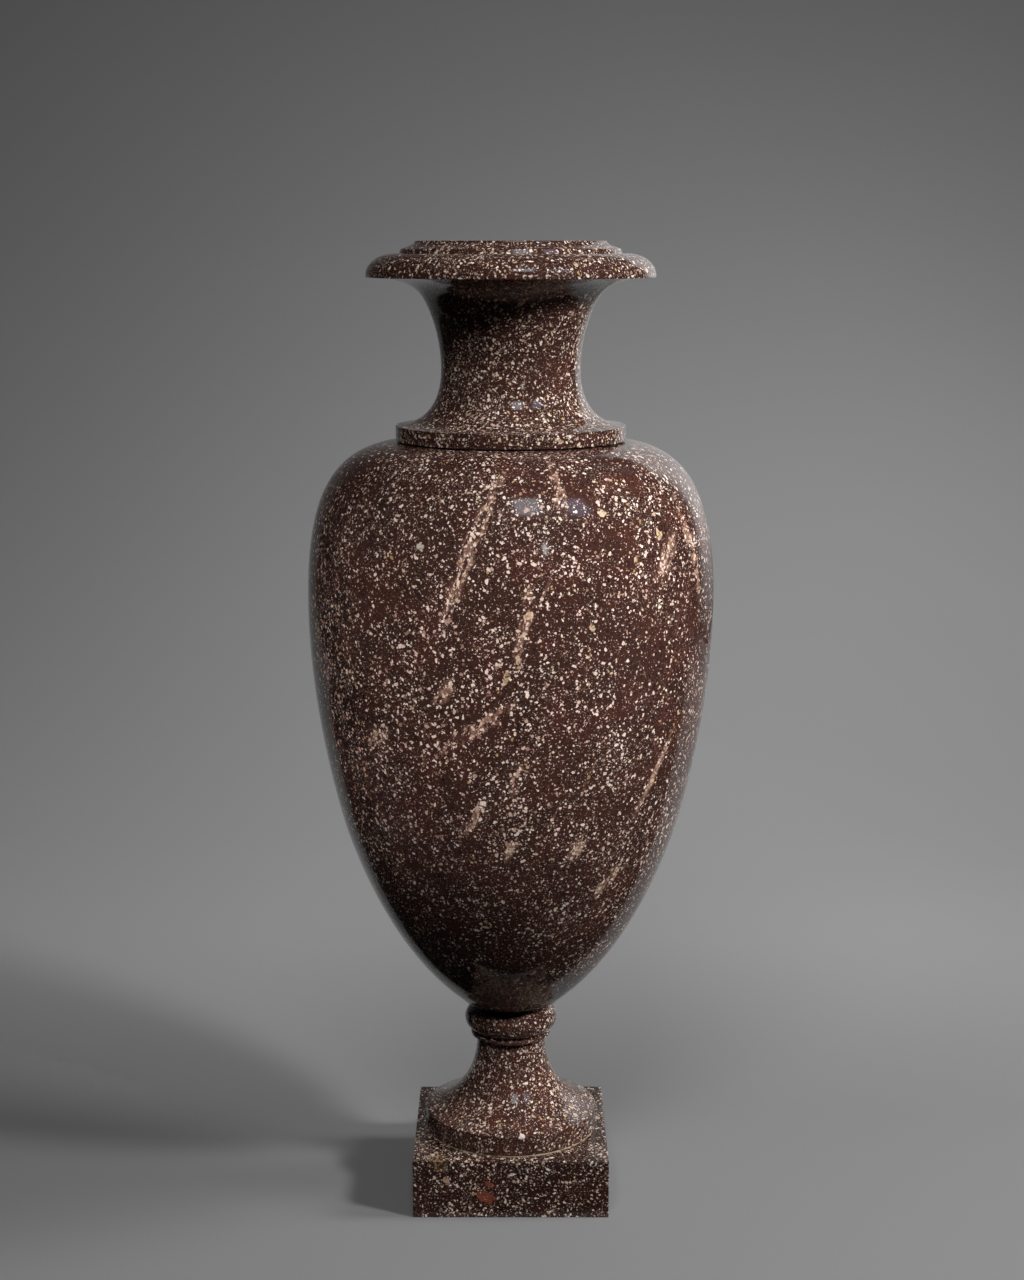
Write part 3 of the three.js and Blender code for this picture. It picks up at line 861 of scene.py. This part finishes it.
# bulge is where the edge stands out, as shares of the height; waves are how often round the joint it
# wavers, and how far; a piece is its node, how far it is squeezed out and its seed
putty = {
    "around": 360, "bulge": (0.3, 0.7), "waves": ((9, 0.25), (31, 0.15)),
    "pieces": (("foot_bedding", 0.05, 1.0), ("body_bedding", 0.0, 2.0), ("neck_bedding", 0.0, 3.0)),
}


def beddingRing(node, squeeze, seed):
    # a bed of putty, its edge squeezed out unevenly
    low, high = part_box(node)
    inner = (body["mouthRadius"] if node == "neck_bedding" else plinth["boreRadius"]) * mm
    outer, bottom, top, around = high.x, low.z, high.z, putty["around"]
    bulge = [bottom * (1 - share) + top * share for share in putty["bulge"]]
    edge = outer + squeeze * mm
    section = ((inner, bottom), (outer, bottom), (edge, bulge[0]), (edge, bulge[1]),
               (outer, top), (inner, top))
    points, faces = [], []
    for i in range(around):
        turn = 2 * math.pi * i / around
        spot = Vector((math.cos(turn), math.sin(turn), seed))
        push = sum(noise.noise(spot * often) * reach * mm for often, reach in putty["waves"])
        for radius, height in section:
            reach = radius + (push if radius > inner else 0.0)
            points.append((reach * math.cos(turn), reach * math.sin(turn), height))
    size = len(section)
    for i in range(around):
        here, there = i * size, (i + 1) % around * size
        faces += [(here + k, there + k, there + (k + 1) % size, here + (k + 1) % size) for k in range(size)]
    name = node.replace("bedding", "putty")
    # the body's and the neck's rings take the darker tones: painted shade in their joints
    return finished(name, newMesh(name, points, faces), puttyMaterial(name, puttyFinish[node]))


for node, squeeze, seed in putty["pieces"]:
    made[node] = beddingRing(node, squeeze, seed)

print("rod")
rod = {"radius": 5.0, "pitch": 1.5, "depth": 0.86, "around": 32, "perTurn": 6, "chamfer": 0.9}


def threadedRod():
    # a stud with a real helical thread, its ends chamfered
    low, high = (corner.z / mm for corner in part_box("tie_rod"))
    r, n = rod, rod["around"]
    rows = int((high - low) / r["pitch"] * r["perTurn"])
    points, faces = [], []
    for row in range(rows + 1):
        height = low + (high - low) * row / rows
        for i in range(n):
            phase = (height / r["pitch"] - i / n) % 1.0
            crest = r["radius"] - r["depth"] * (1 - abs(2 * phase - 1))
            end = r["radius"] - r["chamfer"] + min(height - low, high - height)
            radius = min(crest, end)
            turn = 2 * math.pi * i / n
            points.append((radius * math.cos(turn) * mm, radius * math.sin(turn) * mm, height * mm))
    for row in range(rows):
        faces += bridged(row * n, (row + 1) * n, n)
    points += [(0, 0, low * mm), (0, 0, high * mm)]
    faces += [(len(points) - 2, (i + 1) % n, i) for i in range(n)]
    faces += [(len(points) - 1, rows * n + i, rows * n + (i + 1) % n) for i in range(n)]
    return finished("threaded_rod", newMesh("threaded_rod", points, faces), iron, sharpAbove=50)


made["tie_rod"] = threadedRod()

for node, piece in made.items():
    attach(piece, "root")
    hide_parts(node)
for node in ("lower_washer", "lower_nut", "upper_washer", "upper_nut"):
    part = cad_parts[node]
    part.data.materials.clear()
    part.data.materials.append(iron)

print("studio")
# the camera and the grey ground, in metres and degrees
studio = {
    "cameraDistance": 1.409, "cameraHeight": 0.637, "cameraSide": 0.0008, "cameraPitch": 10.39,
    "lens": 60.75, "sensor": 36.0, "backdrop": (0.255, 0.255, 0.2565), "backdropRoughness": 0.9,
    "floorHalf": 3.0, "sweepStart": 0.7, "sweepRadius": 1.8, "sweepSteps": 16, "wallTop": 3.6,
    "worldColour": (0.18, 0.18, 0.182), "worldFill": 0.01,
}
# lamps that say nothing else point at this place and are this large
studioAim = (0.0, 0.0, 0.38)
lampSize = (0.7, 0.4)

# dark flags, in metres: walls on three sides, a lid, and panels on the floor before and beside the
# plinth, whose backs slant
flags = {
    "colour": (0.012, 0.012, 0.012), "left": -1.25, "right": 1.45, "front": -2.6, "low": 0.01, "top": 2.6,
    "leftBack": 1.35, "rightBack": 1.05, "topBack": 1.1,
    "floor": 0.002, "floorStart": -0.19, "plinthSide": 0.075, "plinthFront": -0.069,
    "floorLeftBack": (0.05, 1.0), "floorRightBack": (0.0, 0.75),
}

# a glowing panel behind on the right, which the polished edge mirrors, and its brightness from the
# left to the right
glow = {
    "left": (0.14, 1.59), "right": (1.26, 0.985), "low": 0.08, "top": 1.5, "fade": 0.5,
    "brightness": ((0.0, 0.40), (0.35, 0.70), (0.7, 1.25), (0.86, 1.1), (1.0, 0.0)),
}

# metres, watts and degrees; a mirrored lamp only shows as a reflection, the others only give light
lamps = {
    "key": {"place": (1.50, -0.87, 1.38), "size": (0.26, 0.26), "watts": 12.2, "spread": 120.0},
    "front": {"place": (-0.15, -1.41, 1.79), "size": (0.7, 0.5), "watts": 5.7, "spread": 105.0},
    "side": {"place": (1.80, 0.0, 1.28), "size": (0.5, 0.9), "watts": 11.0, "spread": 120.0},
    # two narrow beams that reach the body only, and a tube that shows as a thin bright line
    "beam": {"place": (1.05, -1.19, 1.33), "towards": (0.03, -0.05, 0.36), "size": (0.17, 0.20),
             "watts": 0.042, "spread": 5.0},
    "snoot": {"place": (-0.80, -1.42, 0.72), "towards": (-0.035, -0.06, 0.36), "size": (0.14, 0.20),
              "watts": 0.041, "spread": 5.0},
    "tube": {"place": (0.63, -1.84, 0.98), "size": (0.03, 0.20), "watts": 0.5, "mirrored": True},
    "window_left": {"place": (0.28, -1.33, 1.93), "size": (0.46, 0.62), "watts": 3.2,
                    "colour": (0.88, 0.92, 1.0), "mirrored": True},
    "window_right": {"place": (1.09, -1.05, 1.82), "size": (0.40, 0.58), "watts": 1.7,
                     "colour": (0.70, 0.76, 1.0), "mirrored": True},
    # these stand behind the vase and are turned away from it
    "backdrop_low": {"place": (0.22, 0.45, 0.60), "towards": (0.22, 1.32, 0.10), "watts": 3.05},
    "backdrop_left": {"place": (-0.60, 0.45, 0.60), "towards": (-0.60, 1.32, 0.10), "watts": 1.25},
    "backdrop_middle": {"place": (0.10, 1.10, 0.90), "towards": (0.10, 1.97, 0.40), "watts": 1.7},
    "backdrop_right": {"place": (0.80, 1.10, 1.00), "towards": (0.80, 1.95, 0.44), "watts": 4.0},
}


def plainMaterial(name, colour, roughness, shade=0.97, patches=3.0, shine=0.2):
    # a colour that hardly varies
    material, tree, place = newMaterial(name)
    shaded = tuple(c * shade for c in colour)
    setShader(tree, {
        "Base Color": blend(tree, noiseAt(tree, place, patches), colour, shaded), "Roughness": roughness,
        "Specular IOR Level": shine})
    return material


def sweep():
    # floor that curves up into the backdrop
    s = studio
    side, start, radius, steps = s["floorHalf"], s["sweepStart"], s["sweepRadius"], s["sweepSteps"]
    section = [(-side, 0.0), (start, 0.0)]
    section += [(start + radius * math.sin(a), radius * (1 - math.cos(a)))
                for a in (math.pi / 2 * k / steps for k in range(1, steps + 1))]
    section.append((start + radius, s["wallTop"]))
    points = [(x, y, z) for y, z in section for x in (-side, side)]
    faces = [(2 * i, 2 * i + 1, 2 * i + 3, 2 * i + 2) for i in range(len(section) - 1)]
    mesh = newMesh("sweep", points, faces)
    backdrop = plainMaterial("backdrop", s["backdrop"], s["backdropRoughness"])
    finished("sweep", mesh, backdrop, sharpAbove=60)


def unseen(piece):
    # it only takes up or gives light: no camera sees it and it throws no shadow
    piece.visible_camera = False
    piece.visible_shadow = False


def flag(name, corners):
    # a dark panel that keeps stray light off the vase; from behind it is clear
    mesh = newMesh(name, corners, [(0, 1, 2, 3)])
    mesh.update()
    side = mesh.polygons[0]
    if side.normal.dot(Vector(studioAim) - side.center) < 0:
        mesh.flip_normals()
    material = plainMaterial(name, flags["colour"], 1.0)
    tree = material.node_tree
    behind = addNode(tree, "ShaderNodeNewGeometry").outputs["Backfacing"]
    clear = addNode(tree, "ShaderNodeBsdfTransparent").outputs[0]
    dark = tree.nodes["Principled BSDF"].outputs[0]
    seen = addNode(tree, "ShaderNodeMixShader", inputs={0: behind, 1: dark, 2: clear}).outputs[0]
    tree.links.new(seen, tree.nodes["Material Output"].inputs["Surface"])
    unseen(finished(name, mesh, material))


def setFlags():
    f = flags
    left, right, front = f["left"], f["right"], f["front"]
    near, beside, plinthFront = f["floorStart"], f["plinthSide"], f["plinthFront"]
    walls = {"left": ((left, front), (left, f["leftBack"])),
             "right": ((right, front), (right, f["rightBack"])),
             "front": ((left, front), (right, front))}
    for name, (start, end) in walls.items():
        flag("flag_" + name, [(*start, f["low"]), (*end, f["low"]), (*end, f["top"]), (*start, f["top"])])
    (leftIn, leftOut), (rightIn, rightOut) = f["floorLeftBack"], f["floorRightBack"]
    lying = {
        "top": ((left, front), (right, front), (right, f["topBack"]), (left, f["topBack"])),
        "floor_front": ((left, front), (right, front), (right, near), (left, near)),
        "floor_middle": ((-beside, near), (beside, near), (beside, plinthFront), (-beside, plinthFront)),
        "floor_left": ((left, near), (-beside, near), (-beside, leftIn), (left, leftOut)),
        "floor_right": ((beside, near), (right, near), (right, rightOut), (beside, rightIn)),
    }
    for name, corners in lying.items():
        flag("flag_" + name, [(x, y, f["top" if name == "top" else "floor"]) for x, y in corners])


def glowPanel():
    g = glow
    (x0, y0), (x1, y1) = g["left"], g["right"]
    corners = [(x0, y0, g["low"]), (x0, y0, g["top"]), (x1, y1, g["top"]), (x1, y1, g["low"])]
    mesh = newMesh("glow_panel", corners, [(0, 1, 2, 3)])
    material, tree, place = newMaterial("glow_panel")
    at = parted(tree, place)
    greys = [(along, (level,) * 3) for along, level in g["brightness"]]
    inputs = {"Color": ramp(tree, between(tree, at["X"], x0, x1), greys),
              "Strength": between(tree, at["Z"], g["low"], g["low"] + g["fade"])}
    shine = addNode(tree, "ShaderNodeEmission", inputs=inputs).outputs[0]
    tree.links.new(shine, tree.nodes["Material Output"].inputs["Surface"])
    piece = finished("glow_panel", mesh, material)
    piece.visible_diffuse = False
    unseen(piece)


def lamp(name, place, watts, size=lampSize, towards=studioAim, colour=(1, 1, 1), spread=180.0,
         mirrored=False):
    light = bpy.data.lights.new(name, "AREA")
    light.shape = "RECTANGLE"
    light.size, light.size_y = size
    light.energy = watts
    light.color = colour
    light.spread = math.radians(spread)
    holder = bpy.data.objects.new(name, light)
    holder.location = place
    holder.rotation_euler = (Vector(towards) - Vector(place)).to_track_quat("-Z", "Y").to_euler()
    holder.visible_camera = False
    holder.visible_glossy = mirrored
    holder.visible_diffuse = not mirrored
    bpy.context.scene.collection.objects.link(holder)


def studioWorld():
    world = bpy.data.worlds.new("studio")
    bpy.context.scene.world = world
    world.use_nodes = True
    tree = world.node_tree
    back = tree.nodes["Background"]
    rays = addNode(tree, "ShaderNodeLightPath").outputs
    seen = largest(tree, rays["Is Camera Ray"], rays["Is Glossy Ray"], rays["Is Transmission Ray"])
    colour = blend(tree, seen, (studio["worldFill"],) * 3, studio["worldColour"])
    setInputs(tree, back, {"Color": colour, "Strength": 1.0})


def studioCamera():
    s = studio
    camera = bpy.data.cameras.new("camera")
    camera.lens = s["lens"]
    camera.sensor_width = s["sensor"]
    holder = bpy.data.objects.new("camera", camera)
    holder.location = (s["cameraSide"], -s["cameraDistance"], s["cameraHeight"])
    holder.rotation_euler = (math.radians(90 - s["cameraPitch"]), 0, 0)
    bpy.context.scene.collection.objects.link(holder)
    bpy.context.scene.camera = holder


sweep()
setFlags()
glowPanel()
for name, settings in lamps.items():
    lamp(name, **settings)
studioWorld()
studioCamera()
bpy.context.scene.view_settings.view_transform = "Standard"
